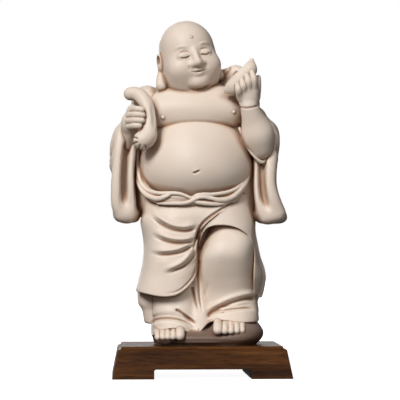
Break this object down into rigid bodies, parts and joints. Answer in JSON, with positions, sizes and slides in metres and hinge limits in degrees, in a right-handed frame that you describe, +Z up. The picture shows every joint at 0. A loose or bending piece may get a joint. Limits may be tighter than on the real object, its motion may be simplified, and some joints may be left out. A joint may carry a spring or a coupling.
{
  "type": "budai figure",
  "caption": "Standing pot-bellied monk figure in ivory porcelain, a boat-shaped ingot in one raised hand, on a dark wood plinth.",
  "frame": {"origin": "middle of the plinth's underside, on the surface that it stands on", "axes": "+Z up, the figure faces -Y, and +X is to the right as seen from in front of it"},
  "size_m": [0.1781, 0.114, 0.3537],
  "materials": {
    "porcelain": "satin",
    "walnut": "satin"
  },
  "bodies": {
    "root": {"figure": "porcelain", "plinth": "walnut"}
  },
  "joints": []
}
